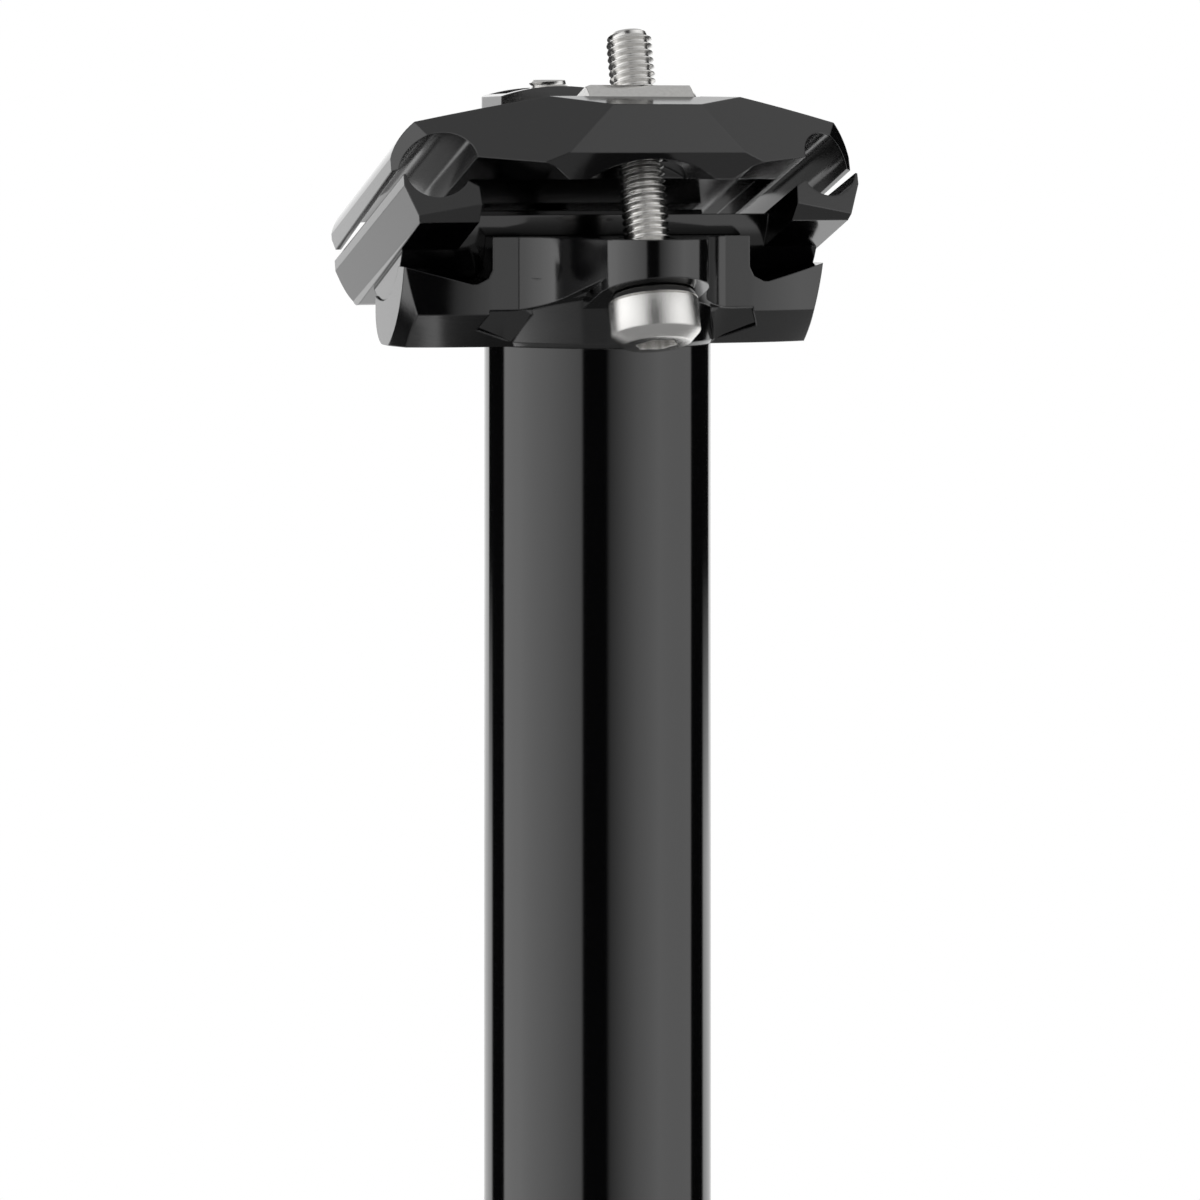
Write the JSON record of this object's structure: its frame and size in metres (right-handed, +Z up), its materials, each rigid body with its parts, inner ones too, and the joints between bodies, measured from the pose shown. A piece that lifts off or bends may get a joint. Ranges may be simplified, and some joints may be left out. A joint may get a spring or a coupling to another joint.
{
  "type": "bicycle seatpost",
  "caption": "Straight 25.4 mm bicycle seatpost whose head carries a tilting cradle for a saddle's rails, held by bolts in barrel nuts.",
  "frame": {"origin": "centre of the tube's lower end", "axes": "+Z up along the tube, -Y towards the rear of the bicycle, +X to the right seen from the rear"},
  "size_m": [0.0524, 0.0517, 0.32],
  "materials": {
    "black_aluminium": "satin",
    "stainless_steel": "satin"
  },
  "bodies": {
    "post": {"post_tube": "black_aluminium", "head": "black_aluminium"},
    "cradle": {"lower_clamp": "black_aluminium", "upper_clamp": "black_aluminium"},
    "rear_nut": {"rear_barrel_nut": "stainless_steel"},
    "rear_screw": {"rear_bolt": "stainless_steel", "rear_washer": "stainless_steel"},
    "front_nut": {"front_barrel_nut": "stainless_steel"},
    "front_screw": {"front_bolt": "stainless_steel", "front_washer": "stainless_steel"}
  },
  "joints": [
    {"name": "saddle_tilt", "type": "hinge", "parent": "post", "child": "cradle", "pos_m": [0, 0.003, 0.3], "axis": [1, 0, 0], "range_deg": [-8, 8]},
    {"name": "rear_nut_rock", "type": "hinge", "parent": "cradle", "child": "rear_nut", "pos_m": [0, -0.01422, 0.31039], "axis": [1, 0, 0], "range_deg": [-7, 7]},
    {"name": "rear_screw_travel", "type": "slide", "parent": "rear_nut", "child": "rear_screw", "axis": [0, 0.2924, 0.9563], "range_m": [-0.0029, 0.0029]},
    {"name": "front_nut_rock", "type": "hinge", "parent": "cradle", "child": "front_nut", "pos_m": [0, 0.0195, 0.31], "axis": [1, 0, 0], "range_deg": [-6, 6]},
    {"name": "front_screw_travel", "type": "slide", "parent": "front_nut", "child": "front_screw", "axis": [0, 0, 1], "range_m": [-0.0025, 0.0025]}
  ],
  "couplings": [
    {"joint": "rear_nut_rock", "follows": "saddle_tilt", "ratio": -0.78245},
    {"joint": "rear_screw_travel", "follows": "saddle_tilt", "m_per_rad": 0.0195},
    {"joint": "front_nut_rock", "follows": "saddle_tilt", "ratio": -0.62858},
    {"joint": "front_screw_travel", "follows": "saddle_tilt", "m_per_rad": -0.0165}
  ]
}
